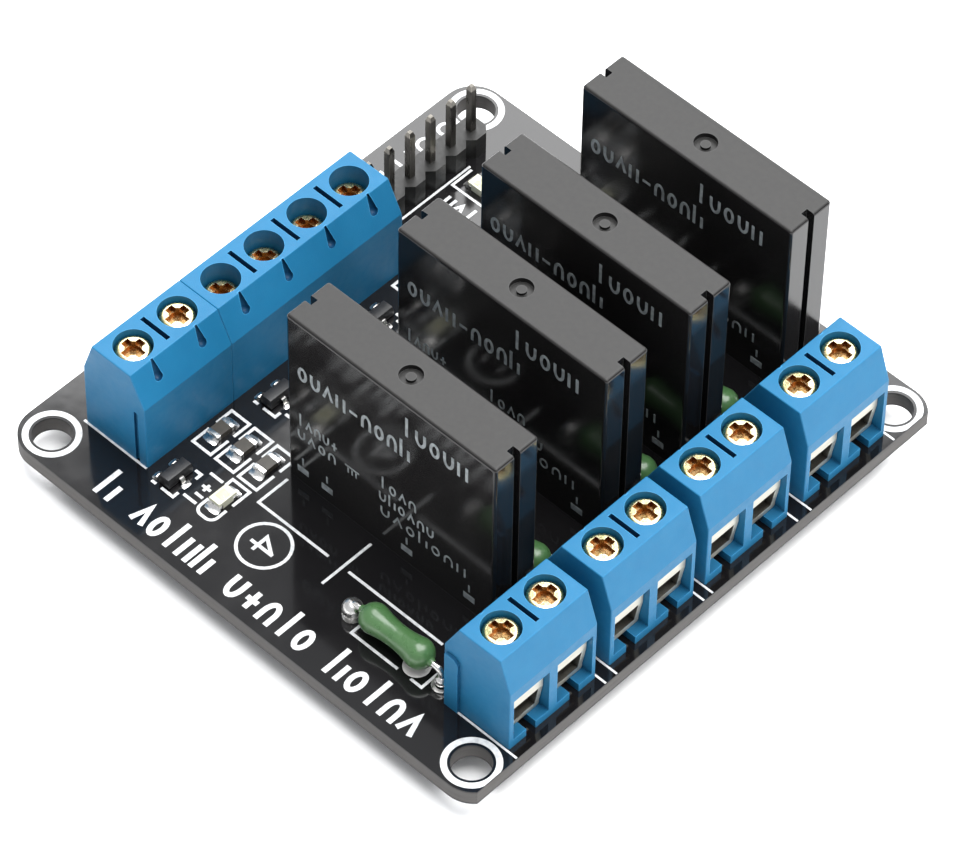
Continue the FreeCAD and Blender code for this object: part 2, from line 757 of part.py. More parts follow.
def make_fuse_body(channel):
    """Two round ends joined by a waist: the waist's arc runs tangent into both ends."""
    body = new_body(f"fuse_body_{channel + 1}")
    profile = new_sketch(body, "XZ_Plane")
    radius, offset = DIMENSIONS["fuse_radius"], DIMENSIONS["fuse_bulb_offset"]
    waist = DIMENSIONS["fuse_waist"]
    sweep = (offset ** 2 + waist ** 2 - radius ** 2) / (2 * (radius - waist))
    lean = math.atan2(sweep + waist, offset)
    up = FreeCAD.Vector(0, 0, 1)
    left, right = FreeCAD.Vector(-offset, 0, 0), FreeCAD.Vector(offset, 0, 0)
    saddle = FreeCAD.Vector(0, sweep + waist, 0)
    near = profile.addGeometry(Part.ArcOfCircle(Part.Circle(left, up, radius), lean, math.pi))
    far = profile.addGeometry(Part.ArcOfCircle(Part.Circle(right, up, radius), 0, math.pi - lean))
    middle = profile.addGeometry(Part.ArcOfCircle(Part.Circle(saddle, up, sweep), math.pi + lean, -lean))
    axis = profile.addGeometry(Part.LineSegment(left - FreeCAD.Vector(radius, 0, 0),
                                                right + FreeCAD.Vector(radius, 0, 0)))
    for ends in ((near, 1, middle, 1), (middle, 2, far, 2)):
        profile.addConstraint(Sketcher.Constraint("Tangent", *ends))
    for ends in ((near, 2, axis, 1), (far, 1, axis, 2)):
        profile.addConstraint(Sketcher.Constraint("Coincident", *ends))
    profile.addConstraint(Sketcher.Constraint("PointOnObject", axis, 1, -1))
    profile.addConstraint(Sketcher.Constraint("PointOnObject", axis, 2, -1))
    hold_point(profile, near, 3, left, "-fuse_bulb_offset", "0")
    hold_point(profile, far, 3, right, "fuse_bulb_offset", "0")
    hold(profile, "Radius", (near,), radius, "fuse_radius")
    hold(profile, "Radius", (far,), radius, "fuse_radius")
    hold(profile, "Radius", (middle,), sweep,
         "(fuse_bulb_offset^2 + fuse_waist^2 - fuse_radius^2) / (2 * (fuse_radius - fuse_waist))")
    turned = body.newObject("PartDesign::Revolution", "turned")
    turned.Profile = profile
    turned.ReferenceAxis = (profile, ["H_Axis"])
    document.recompute()
    bind_place(body, "fuse_left + fuse_lead_pitch / 2", fuse_line(channel),
               "board_thickness + fuse_clearance + fuse_radius")
    finished(body, f"fuse_body_{channel + 1}")


def make_fuse_leads():
    """Each lead runs level out of the fuse's end and then down through the board."""
    leads = []
    height = "board_thickness + fuse_clearance + fuse_radius"
    run = "fuse_lead_pitch / 2 - fuse_bulb_offset - fuse_radius + fuse_wire / 2"
    for channel in range(CHANNELS):
        for end in range(2):
            x = f"fuse_left + fuse_lead_pitch * {end}"
            start = f"{x} - fuse_wire / 2" if end == 0 else f"{x} + fuse_wire / 2 - ({run})"
            level = box((start, f"{fuse_line(channel)} - fuse_wire / 2", f"{height} - fuse_wire / 2"),
                        (run, "fuse_wire", "fuse_wire"))
            down = box((f"{x} - fuse_wire / 2", f"{fuse_line(channel)} - fuse_wire / 2", "-short_pin_drop"),
                       ("fuse_wire", "fuse_wire", f"{height} + short_pin_drop"))
            leads.append(boolean("Fuse", level, down))
    group("fuse_leads", leads)


# ---------------------------------------------------------------- surface-mounted parts

def chip(x, y, height, along_x=False):
    """A chip component centred on a point of the board's top."""
    size_x, size_y = ("chip_length", "chip_width") if along_x else ("chip_width", "chip_length")
    return box((f"{x} - {size_x} / 2", f"{y} - {size_y} / 2", "board_thickness"), (size_x, size_y, height))


def make_chips():
    resistors = []
    lamps = [chip("power_led_x", "power_led_y", "led_height", along_x=True)]
    for channel in range(CHANNELS):
        row = channel_row(channel)
        for column in range(3):
            resistors.append(chip(f"resistor_start + resistor_pitch * {column}", row, "chip_height"))
        lamps.append(chip("led_column", f"{row} + led_offset", "led_height"))
    group("input_resistors", resistors)
    group("indicator_leds", lamps)


def make_transistors():
    bodies, feet = [], []
    for channel in range(CHANNELS):
        middle = f"{channel_row(channel)} + transistor_offset"
        bodies.append(box(
            ("transistor_column - transistor_width / 2", f"{middle} - transistor_length / 2",
             "board_thickness + transistor_lift"),
            ("transistor_width", "transistor_length", "transistor_height")))
        for side, spread in ((1, "0"), (-1, "foot_spread"), (-1, "-foot_spread")):
            edge = "transistor_width / 2" if side > 0 else "-transistor_width / 2 - foot_reach"
            feet.append(box(
                (f"transistor_column + {edge}", f"{middle} + {spread} - foot_width / 2", "board_thickness"),
                ("foot_reach", "foot_width", "foot_thickness + transistor_lift")))
    group("driver_transistors", bodies)
    group("transistor_feet", feet)


# ---------------------------------------------------------------- build, check and write

def check_document():
    """Stop if any object failed or any sub-part is empty or broken."""
    for item in document.Objects:
        if "Invalid" in item.State or "Error" in item.State:
            raise RuntimeError(f"{item.Label} failed: {item.State}")
    for item in sub_parts:
        if item.Shape.isNull() or not item.Shape.isValid():
            raise RuntimeError(f"{item.Label} has no valid shape")
        solids = len(item.Shape.Solids)
        print(f"{item.Label}: {solids} solid(s), {item.Shape.Volume:.2f} mm3")


def write_parts():
    os.makedirs("parts", exist_ok=True)
    for item in sub_parts:
        item.Shape.exportStep(f"parts/{item.Label}.step")


def main():
    fill_sheet()
    make_board()
    make_solder()
    make_housings()
    make_clamps()
    make_contacts()
    for channel in range(CHANNELS):
        make_relay_case(channel)
        make_fuse_body(channel)
    make_relay_insides()
    make_header_base()
    make_header_pins()
    make_fuse_leads()
    make_chips()
    make_transistors()
    document.recompute()
    check_document()
    write_parts()


main()
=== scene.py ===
"""Looks of the four-channel solid state relay module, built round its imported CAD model."""

import json
import math

import bmesh
import bpy
from mathutils import Matrix, Vector


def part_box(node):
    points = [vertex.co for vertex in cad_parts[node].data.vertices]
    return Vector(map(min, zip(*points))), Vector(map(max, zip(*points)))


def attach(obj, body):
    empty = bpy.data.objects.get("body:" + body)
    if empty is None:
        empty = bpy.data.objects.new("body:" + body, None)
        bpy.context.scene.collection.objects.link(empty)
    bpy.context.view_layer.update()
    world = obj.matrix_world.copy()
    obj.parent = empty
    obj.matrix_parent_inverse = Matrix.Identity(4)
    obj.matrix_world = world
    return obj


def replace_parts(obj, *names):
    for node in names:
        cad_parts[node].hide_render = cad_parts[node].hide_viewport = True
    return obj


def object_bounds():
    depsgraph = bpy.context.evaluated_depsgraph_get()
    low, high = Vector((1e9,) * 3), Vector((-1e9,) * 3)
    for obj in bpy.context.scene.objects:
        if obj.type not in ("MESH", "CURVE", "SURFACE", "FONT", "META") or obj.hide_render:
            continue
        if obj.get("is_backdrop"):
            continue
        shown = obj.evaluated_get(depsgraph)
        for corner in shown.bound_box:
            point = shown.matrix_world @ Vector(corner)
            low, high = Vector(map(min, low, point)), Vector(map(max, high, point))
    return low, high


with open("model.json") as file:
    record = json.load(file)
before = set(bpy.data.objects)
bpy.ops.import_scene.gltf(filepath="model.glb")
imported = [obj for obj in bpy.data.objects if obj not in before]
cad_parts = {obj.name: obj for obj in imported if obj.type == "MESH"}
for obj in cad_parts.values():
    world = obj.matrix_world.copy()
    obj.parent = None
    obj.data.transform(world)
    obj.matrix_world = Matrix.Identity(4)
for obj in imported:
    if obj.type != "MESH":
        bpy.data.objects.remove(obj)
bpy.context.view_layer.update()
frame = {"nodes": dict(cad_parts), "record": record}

MM = 0.001
CHANNELS = 4

# Millimetres: how thick print is, how much higher a crossing stroke lies, and how far print sinks in
INK = 0.02
LAYER = 0.006
SINK = 0.01
# Sides of a round shape, where nothing else is said
STEPS = 32

NODES = frame["nodes"]
# The board's upper face, in metres
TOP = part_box("circuit_board")[1].z


# ---------------------------------------------------------------- materials

class Finish:
    """A material under construction. Patterns are laid out in the part's own space, in metres."""

    def __init__(self, name, **constants):
        self.material = bpy.data.materials.new(name)
        self.material.use_nodes = True
        self.tree = self.material.node_tree
        self.shader = self.tree.nodes["Principled BSDF"]
        self.space = self.node("TexCoord").outputs["Object"]
        for socket, value in constants.items():
            self.set(socket.replace("_", " "), value)

    def node(self, kind, **settings):
        """Add a shader node with these properties."""
        made = self.tree.nodes.new(f"ShaderNode{kind}")
        for key, value in settings.items():
            setattr(made, key, value)
        return made

    def feed(self, socket, value):
        """Join a node's output to a socket, or give the socket a plain value."""
        if isinstance(value, bpy.types.NodeSocket):
            self.tree.links.new(value, socket)
        else:
            socket.default_value = value

    def set(self, socket, value):
        """Feed one of the surface's own inputs."""
        self.feed(self.shader.inputs[socket], value)

    def noise(self, size, detail=3.0, stretch=(1, 1, 1)):
        """Soft blotches about this many millimetres across, longer along an axis stretched above 1."""
        mapping = self.node("Mapping")
        self.feed(mapping.inputs["Vector"], self.space)
        mapping.inputs["Scale"].default_value = [1 / part for part in stretch]
        made = self.node("TexNoise")
        self.feed(made.inputs["Vector"], mapping.outputs["Vector"])
        made.inputs["Scale"].default_value = 1 / (size * MM)
        made.inputs["Detail"].default_value = detail
        return made.outputs["Fac"]

    def cells(self, size):
        """Small rounded grains about this many millimetres apart."""
        made = self.node("TexVoronoi")
        self.feed(made.inputs["Vector"], self.space)
        made.inputs["Scale"].default_value = 1 / (size * MM)
        return made.outputs["Distance"]

    def scale(self, value, low, high, to_low, to_high):
        """Carry a value from one range over to another."""
        made = self.node("MapRange")
        for name, part in zip(("Value", "From Min", "From Max", "To Min", "To Max"),
                              (value, low, high, to_low, to_high)):
            self.feed(made.inputs[name], part)
        return made.outputs["Result"]

    def math(self, operation, *values):
        """One step of arithmetic."""
        made = self.node("Math", operation=operation)
        for socket, value in zip(made.inputs, values):
            self.feed(socket, value)
        return made.outputs[0]

    def mix(self, factor, first, second):
        """A colour between two colours."""
        made = self.node("Mix", data_type="RGBA")
        colours = [socket for socket in made.inputs if socket.type == "RGBA"]
        self.feed(made.inputs[0], factor)
        for socket, colour in zip(colours, (first, second)):
            self.feed(socket, colour if isinstance(colour, bpy.types.NodeSocket) else (*colour, 1))
        return next(socket for socket in made.outputs if socket.type == "RGBA")

    def facing(self, axis):
        """The surface normal's share along one of the part's axes, from -1 to 1."""
        split = self.node("SeparateXYZ")
        self.feed(split.inputs[0], self.node("TexCoord").outputs["Normal"])
        return split.outputs[axis]

    def height(self):
        """Height above the frame's origin, in millimetres."""
        split = self.node("SeparateXYZ")
        self.feed(split.inputs[0], self.space)
        return self.math("MULTIPLY", split.outputs["Z"], 1 / MM)

    def edges(self, radius):
        """1 on edges sharper than a radius in millimetres, 0 on flat faces."""
        bevel = self.node("Bevel", samples=4)
        bevel.inputs["Radius"].default_value = radius * MM
        compare = self.node("VectorMath", operation="DOT_PRODUCT")
        self.feed(compare.inputs[0], bevel.outputs["Normal"])
        self.feed(compare.inputs[1], self.node("NewGeometry").outputs["Normal"])
        return self.scale(compare.outputs["Value"], 0.995, 0.85, 0.0, 1.0)

    def hollows(self, reach):
        """1 in corners and recesses narrower than a reach in millimetres, 0 in the open."""
        made = self.node("AmbientOcclusion", samples=4, only_local=True)
        made.inputs["Distance"].default_value = reach * MM
        return self.scale(made.outputs["AO"], 0.3, 0.9, 1.0, 0.0)

    def relief(self, height, depth):
        """Raise the surface by a pattern up to this many millimetres high."""
        made = self.node("Bump")
        made.inputs["Distance"].default_value = depth * MM
        self.feed(made.inputs["Height"], height)
        self.set("Normal", made.outputs["Normal"])


def board_finish():
    """Glossy black mask on both faces; cut glass-fibre core round the edges."""
    made = Finish("board_mask", Specular_IOR_Level=0.55)
    flat = made.scale(made.math("ABSOLUTE", made.facing("Z")), 0.4, 0.6, 0.0, 1.0)
    mask = made.mix(made.noise(9), (0.003, 0.003, 0.0035), (0.008, 0.0075, 0.008))
    fibres = made.mix(made.noise(0.5, 4, (8, 8, 0.5)), (0.034, 0.031, 0.029), (0.082, 0.076, 0.072))
    level = made.math("ABSOLUTE", made.math("SUBTRACT", made.height(), TOP / MM / 2))
    skin = made.scale(level, 0.58, 0.7, 0.0, 1.0)
    core = made.mix(skin, fibres, (0.018, 0.017, 0.018))
    made.set("Base Color", made.mix(flat, core, mask))
    gloss = made.scale(made.noise(4, 5), 0.3, 0.7, 0.06, 0.12)
    made.set("Roughness", made.scale(flat, 0, 1, 0.7, gloss))
    made.relief(made.noise(2.5, 2), 0.004)
    return made.material


def ink_finish(name, light, dark, patchy):
    """Printed ink: slightly uneven in tone and thin in places."""
    made = Finish(name)
    made.set("Base Color", made.mix(made.scale(made.noise(0.5, 5), 0.35, patchy, 0, 1), dark, light))
    made.set("Roughness", made.scale(made.noise(0.3), 0.3, 0.7, 0.45, 0.65))
    made.relief(made.noise(0.12, 4), 0.006)
    return made.material


def housing_finish():
    """Moulded blue nylon: fine spark texture, a painted highlight where light catches its edges, and painted
    shade in its recesses.
    """
    made = Finish("blue_nylon", Subsurface_Weight=0.06, Subsurface_Scale=0.0006, Specular_IOR_Level=0.24)
    body = made.mix(made.noise(2.2, 5), (0.008, 0.113, 0.235), (0.012, 0.138, 0.275))
    # Painted highlight: the edges are made paler in patches, where light catches them.
    painted_light = made.math("MULTIPLY", made.edges(0.12), made.scale(made.noise(0.6, 3), 0.3, 0.6, 0.3, 0.8))
    highlit = made.mix(painted_light, body, (0.05, 0.27, 0.52))
    # Painted shade: the colour darkens towards near-black in recesses and inside corners.
    shade = made.math("MULTIPLY", made.hollows(2.4), 0.9)
    made.set("Base Color", made.mix(shade, highlit, (0.002, 0.022, 0.07)))
    made.set("Roughness", made.scale(made.noise(0.8, 4), 0.3, 0.7, 0.4, 0.54))
    made.relief(made.cells(0.09), 0.006)
    return made.material


def metal_finish(name, bright, dull, rough, grain=(1, 1, 1), size=0.3, depth=0.004, hollow_shade=0.0):
    """Plated metal: a drawn or cast grain, duller blotches, painted highlights on the edges and, where asked,
    painted shade in inside corners.
    """
    made = Finish(name, Metallic=1.0)
    tone = made.mix(made.noise(size * 4, 4, grain), bright, dull)
    # Painted highlight: the edges are made brighter than the metal's own tone, where light would catch them.
    shine = [min(1.0, part * 1.12) for part in bright]
    painted_light = made.mix(made.edges(0.08), tone, shine)
    # Painted shade: where asked, the colour darkens towards near-black in recesses and inside corners.
    if hollow_shade:
        painted_light = made.mix(made.math("MULTIPLY", made.hollows(4.0), hollow_shade), painted_light, (0.045, 0.038, 0.026))
    made.set("Base Color", painted_light)
    made.set("Roughness", made.scale(made.noise(size, 4, grain), 0.25, 0.75, rough * 0.7, rough * 1.4))
    made.relief(made.noise(size / 2, 3, grain), depth)
    return made.material


def screw_finish():
    """Yellow zinc plate: painted brown shade in the recess, painted highlights on the rim edges, and
    iridescent in blotches.
    """
    made = Finish("yellow_zinc", Metallic=1.0)
    plate = made.mix(made.scale(made.noise(0.8, 3), 0.4, 0.65, 0, 1), (0.70, 0.58, 0.33), (0.57, 0.55, 0.27))
    # Painted highlight: the head's edges are made paler.
    painted_light = made.mix(made.edges(0.12), plate, (0.84, 0.75, 0.53))
    # Painted shade: the recess is coloured brown where the occlusion is deep.
    recess_shade = made.scale(made.hollows(1.6), 0.12, 0.5, 0.0, 1.0)
    made.set("Base Color", made.mix(recess_shade, painted_light, (0.27, 0.12, 0.035)))
    made.set("Roughness", made.scale(made.noise(0.25, 4), 0.3, 0.7, 0.16, 0.34))
    made.relief(made.noise(0.2, 3), 0.006)
    return made.material


def relay_finish():
    """Black case: glossy faces, and a satin matte top painted a little paler, partly for dust and partly as
    painted sheen, with painted highlights on its edges.
    """
    made = Finish("relay_black", Specular_IOR_Level=0.32)
    top = made.scale(made.facing("Z"), 0.5, 0.9, 0.0, 1.0)
    black = made.mix(made.noise(6, 4), (0.006, 0.006, 0.006), (0.012, 0.011, 0.011))
    # The top's colour is partly dust and partly a painted sheen from the light it catches.
    dusty_sheen_top = made.mix(made.noise(0.5, 5), (0.010, 0.010, 0.010), (0.020, 0.019, 0.018))
    body = made.mix(top, black, dusty_sheen_top)
    # Painted highlight: the case's edges are made a lighter grey.
    made.set("Base Color", made.mix(made.edges(0.12), body, (0.05, 0.05, 0.05)))
    gloss = made.scale(made.noise(3, 4), 0.3, 0.7, 0.08, 0.15)
    made.set("Roughness", made.scale(top, 0, 1, gloss, 0.42))
    made.relief(made.noise(0.15, 3), 0.0025)
    return made.material


def coat_finish():
    """Dipped green lacquer, with pale specks and a slightly uneven surface."""
    made = Finish("green_lacquer", Coat_Weight=0.3, Coat_Roughness=0.12)
    body = made.mix(made.noise(1.1, 4), (0.030, 0.095, 0.027), (0.068, 0.15, 0.056))
    specks = made.scale(made.noise(0.25, 3), 0.6, 0.75, 0, 0.4)
    made.set("Base Color", made.mix(specks, body, (0.10, 0.19, 0.09)))
    made.set("Roughness", made.scale(made.noise(0.7, 3), 0.3, 0.7, 0.25, 0.42))
    made.relief(made.noise(0.9, 3), 0.05)
    return made.material


def plastic_finish(name, dark, light, rough, size=0.4, depth=0.006):
    """Plain moulded or cast material with a fine uneven surface and painted highlights on its edges."""
    made = Finish(name)
    tone = made.mix(made.noise(size * 3, 4), dark, light)
    # Painted highlight: a paler colour laid on the edges.
    edge = [min(1.0, part * 1.6 + 0.01) for part in light]
    made.set("Base Color", made.mix(made.math("MULTIPLY", made.edges(0.08), 0.6), tone, edge))
    made.set("Roughness", made.scale(made.noise(size, 4), 0.3, 0.7, rough * 0.8, rough * 1.2))
    made.relief(made.noise(size / 3, 3), depth)
    return made.material


def lens_finish():
    """Clear yellowish resin over a lamp chip."""
    made = Finish("lamp_resin", Transmission_Weight=0.55, IOR=1.5)
    made.set("Base Color", made.mix(made.noise(0.5), (0.82, 0.80, 0.52), (0.93, 0.92, 0.72)))
    made.set("Roughness", made.scale(made.noise(0.3), 0.3, 0.7, 0.12, 0.3))
    made.relief(made.noise(0.4), 0.01)
    return made.material


BOARD = board_finish()
WHITE_INK = ink_finish("white_ink", (0.60, 0.61, 0.61), (0.46, 0.47, 0.48), 0.55)
GREY_INK = ink_finish("grey_ink", (0.30, 0.33, 0.34), (0.14, 0.155, 0.16), 0.7)
BLUE = housing_finish()
CAGE = metal_finish("cage_steel", (0.60, 0.595, 0.53), (0.46, 0.45, 0.39), 0.46,
                    grain=(1, 6, 1), hollow_shade=0.9)
CONTACT = metal_finish("contact_brass", (0.30, 0.25, 0.17), (0.17, 0.14, 0.10), 0.4,
                       grain=(1, 6, 1), hollow_shade=0.8)
ZINC = screw_finish()
TIN = metal_finish("tinned_copper", (0.86, 0.85, 0.83), (0.66, 0.65, 0.63), 0.24, grain=(1, 1, 5))
SOLDER = metal_finish("solder", (0.84, 0.83, 0.81), (0.62, 0.61, 0.60), 0.27, size=0.5, depth=0.01)
PAD = plastic_finish("pad_flux", (0.66, 0.62, 0.60), (0.80, 0.77, 0.75), 0.32, size=0.5)
POSTS = metal_finish("header_posts", (0.17, 0.16, 0.14), (0.09, 0.085, 0.08), 0.3, grain=(1, 1, 8))
RELAY = relay_finish()
GREEN = coat_finish()
HEADER = plastic_finish("header_plastic", (0.004, 0.004, 0.004), (0.009, 0.009, 0.008), 0.45)
EPOXY = plastic_finish("chip_epoxy", (0.004, 0.004, 0.005), (0.010, 0.010, 0.011), 0.4, size=0.2)
CHIP = plastic_finish("chip_glaze", (0.022, 0.019, 0.015), (0.055, 0.047, 0.036), 0.42, size=0.2)
POTTING = plastic_finish("potting_resin", (0.012, 0.011, 0.010), (0.03, 0.028, 0.026), 0.35,
                         size=1.5, depth=0.03)
LAMP = plastic_finish("lamp_white", (0.46, 0.46, 0.36), (0.60, 0.59, 0.47), 0.42, size=0.3)
CERAMIC = plastic_finish("white_ceramic", (0.72, 0.71, 0.67), (0.84, 0.83, 0.80), 0.6, size=0.3)
LENS = lens_finish()


def dress(node, material):
    """Give a CAD node its finish."""
    slots = NODES[node].data.materials
    slots.clear()
    slots.append(material)


def dress_all():
    """Give every CAD node the finish of the first word here that its name holds."""
    finishes = {
        "circuit_board": BOARD, "housing": BLUE, "cage": CAGE, "screw": ZINC, "contacts": CONTACT,
        "relay_case": RELAY, "relay_leads": TIN, "relay_substrates": CERAMIC, "relay_triacs": EPOXY,
        "relay_optocouplers": EPOXY, "relay_potting": POTTING, "header_base": HEADER, "header_pins": POSTS,
        "fuse_body": GREEN, "fuse_leads": TIN, "input_resistors": CHIP, "indicator_leds": LAMP,
        "driver_transistors": EPOXY, "transistor_feet": TIN, "solder_joints": SOLDER,
    }
    for node in NODES:
        word = next(word for word in finishes if word in node)
        dress(node, finishes[word])


# ---------------------------------------------------------------- meshes

def arc(x, y, radius, start, end, steps=STEPS):
    """Points along an arc, from one angle to another in degrees."""
    angles = [math.radians(start + (end - start) * step / steps) for step in range(steps + 1)]
    return [(x + radius * math.cos(angle), y + radius * math.sin(angle)) for angle in angles]


def ring(x, y, radius, steps=STEPS):
    """Points round a closed circle."""
    return arc(x, y, radius, 0, 360, steps)[:-1]


def flat(height, x=0.0, y=0.0, turn=0.0):
    """Lay millimetre drawings on a level plane at this height in metres."""
    lift = Matrix.Translation((x * MM, y * MM, height))
    return lift @ Matrix.Rotation(math.radians(turn), 4, "Z") @ Matrix.Scale(MM, 4)


# Takes drawings in the frame's own millimetres to metres
MILLIMETRES = Matrix.Scale(MM, 4)
# The same for drawings on the board's underside, whose y runs backwards
UNDERSIDE = Matrix.Rotation(math.pi, 4, "X") @ MILLIMETRES


class Shape:
    """A mesh under construction. Drawings are in millimetres; place turns them into the frame's metres."""

    def __init__(self):
        self.mesh = bmesh.new()

    def sweep(self, rows, place, closed):
        """Join rows of points, each a closed section, into a skin. An open run gets a face on each end."""
        made = [[self.mesh.verts.new(place @ Vector(point)) for point in row] for row in rows]
        spans = len(made) if closed else len(made) - 1
        for index in range(spans):
            here, there = made[index], made[(index + 1) % len(made)]
            for side in range(len(here)):
                after = (side + 1) % len(here)
                self.mesh.faces.new((here[side], there[side], there[after], here[after]))
        if not closed:
            self.mesh.faces.new(made[0])
            self.mesh.faces.new(made[-1][::-1])

    def ribbon(self, path, width, place, closed=False, thickness=INK):
        """A flat line of one width that turns its corners in a mitre."""
        points = [Vector(point) for point in path]
        rows = []
        for index, point in enumerate(points):
            has_before = closed or index > 0
            has_after = closed or index < len(points) - 1
            ahead = (points[(index + 1) % len(points)] - point).normalized() if has_after else None
            behind = (point - points[index - 1]).normalized() if has_before else ahead
            ahead = ahead or behind
            across = Vector((-behind.y - ahead.y, behind.x + ahead.x)).normalized()
            sharpest_mitre = 0.4
            reach = width / 2 / max(across.dot(Vector((-behind.y, behind.x))), sharpest_mitre)
            run_on = Vector((0, 0))
            if not has_before:
                run_on = -ahead * width / 3
            if not has_after:
                run_on = behind * width / 3
            left, right = point + across * reach + run_on, point - across * reach + run_on
            rows.append([(*left, -SINK), (*left, thickness), (*right, thickness), (*right, -SINK)])
        self.sweep(rows, place, closed)

    def slab(self, outline, place, low=-SINK, high=INK):
        """A flat plate with this outline."""
        faces = [[(*point, height) for point in outline] for height in (low, high)]
        self.sweep(faces, place, False)

    def lathe(self, profile, place, steps=STEPS):
        """Turn a profile of (radius, height) pairs round the local Z axis."""
        rows = []
        for radius, height in profile:
            rows.append([(*point, height) for point in ring(0, 0, max(radius, 1e-4), steps)])
        self.sweep(rows, place, False)

    def block(self, low, high, place, taper=0.0, round_by=0.05):
        """A block with rounded edges that narrows towards its top by a taper on each side."""
        (x0, y0, z0), (x1, y1, z1) = low, high
        base = [(x0, y0, z0), (x1, y0, z0), (x1, y1, z0), (x0, y1, z0)]
        roof = [(x0 + taper, y0 + taper, z1), (x1 - taper, y0 + taper, z1),
                (x1 - taper, y1 - taper, z1), (x0 + taper, y1 - taper, z1)]
        before = set(self.mesh.edges)
        self.sweep([base, roof], place, False)
        fresh = [edge for edge in self.mesh.edges if edge not in before]
        bmesh.ops.bevel(self.mesh, geom=fresh, offset=round_by * MM, segments=2, profile=0.6,
                        affect="EDGES", clamp_overlap=True)

    def done(self, name, material, slot, body="board", smooth=False):
        """Turn the shape into a piece that rides on a CAD body."""
        bmesh.ops.recalc_face_normals(self.mesh, faces=self.mesh.faces)
        data = bpy.data.meshes.new(name)
        self.mesh.to_mesh(data)
        self.mesh.free()
        data.materials.append(material)
        piece = bpy.data.objects.new(name, data)
        bpy.context.scene.collection.objects.link(piece)
        if smooth:
            data.polygons.foreach_set("use_smooth", [True] * len(data.polygons))
            data.set_sharp_from_angle(angle=math.radians(40))
        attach(piece, body)
        return piece


# ---------------------------------------------------------------- what the frame says

def middle(node):
    """Centre of a node's box, in millimetres."""
    low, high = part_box(node)
    return (low + high) / 2 / MM


def span(node):
    """Lowest and highest corner of a node, in millimetres."""
    low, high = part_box(node)
    return low / MM, high / MM


def islands(node):
    """Lowest and highest corner of each separate solid of a grouped node, in millimetres."""
    source = NODES[node].data
    parent = list(range(len(source.vertices)))

    def root(index):
        """The vertex that stands for this vertex's group."""
        while parent[index] != index:
            parent[index] = parent[parent[index]]
            index = parent[index]
        return index

    places = {}
    for index, vertex in enumerate(source.vertices):
        key = tuple(round(part, 7) for part in vertex.co)
        parent[index] = places.setdefault(key, index)
    for edge in source.edges:
        first, second = (root(index) for index in edge.vertices)
        parent[first] = second
    groups = {}
    for index, vertex in enumerate(source.vertices):
        groups.setdefault(root(index), []).append(vertex.co / MM)
    boxes = []
    for points in groups.values():
        low = Vector([min(point[axis] for point in points) for axis in range(3)])
        high = Vector([max(point[axis] for point in points) for axis in range(3)])
        boxes.append((low, high))
    return sorted(boxes, key=lambda pair: (round(pair[0].y, 2), round(pair[0].x, 2)))


# ---------------------------------------------------------------- printing on the board

# Widths of the printed lines, in millimetres
OUTLINE = 0.28
THIN = 0.26

# Strokes of each plain mark, in a cell one wide and one high
MARK_FORMS = {
    "post": [[(0.5, 0), (0.5, 1)]],
    "ring": [ring(0.5, 0.35, 0.35, 20)],
    "arch": [[(0.12, 0), *arc(0.5, 0.35, 0.38, 180, 0, 10), (0.88, 0)]],
    "cup": [[(0.12, 0.7), *arc(0.5, 0.38, 0.38, 180, 360, 10), (0.88, 0.7)]],
    "peak": [[(0.1, 0.05), (0.5, 0.7), (0.9, 0.05)]],
    "bars": [[(0.12, 0), (0.12, 0.7)], [(0.88, 0), (0.88, 0.7)]],
    "dash": [[(0.2, 0.35), (0.8, 0.35)]],
    "cross": [[(0.5, 0.05), (0.5, 0.65)], [(0.2, 0.35), (0.8, 0.35)]],
    "tall": [[(0.12, 0), (0.12, 1)], [(0.88, 0), (0.88, 0.55)]],
}


def mark_row(shape, forms, start, end, base, height, line, place):
    """A row of plain geometric marks that stands in for a line of print."""
    pitch = (end - start) / len(forms)
    gap, body = 0.12, 0.76
    for index, form in enumerate(forms):
        for layer, path in enumerate(MARK_FORMS[form]):
            points = [(start + pitch * (index + gap + body * x), base + height * y) for x, y in path]
            shape.ribbon(points, line, place, closed=form == "ring", thickness=INK + LAYER * layer)


def channel_numeral(shape, number, place):
    """The channel's number in its circle, about two millimetres high and centred on the local origin."""
    if number == 1:
        strokes = [[(-0.5, 0.6), (0.05, 1.05), (0.05, -1.1)]]
    elif number == 2:
        strokes = [[*arc(0, 0.45, 0.62, 170, -40, 14), (-0.65, -1.05), (0.75, -1.05)]]
    elif number == 3:
        strokes = [[*arc(-0.05, 0.52, 0.52, 150, -80, 12)], [*arc(-0.05, -0.5, 0.58, 85, -150, 12)]]
    else:
        strokes = [[(0.3, -1.15), (0.3, 1.15)], [(0.2, 1.0), (-0.8, -0.45), (0.85, -0.45)]]
    for layer, stroke in enumerate(strokes):
        shape.ribbon(stroke, 0.32, place, thickness=INK + LAYER * layer)


def print_resistor(shape, low):
    """Two brackets round a chip resistor, open beside its middle; low is its lowest corner."""
    left = low.x - 0.325
    right = left + 2.13
    place = flat(TOP, 0, low.y + 1)
    for near, end, far in ((0.5, 2.2, 0.42), (-0.55, -2.4, -0.42)):
        shape.ribbon([(left, near), (left, end), (right, end), (right, far)], OUTLINE, place)


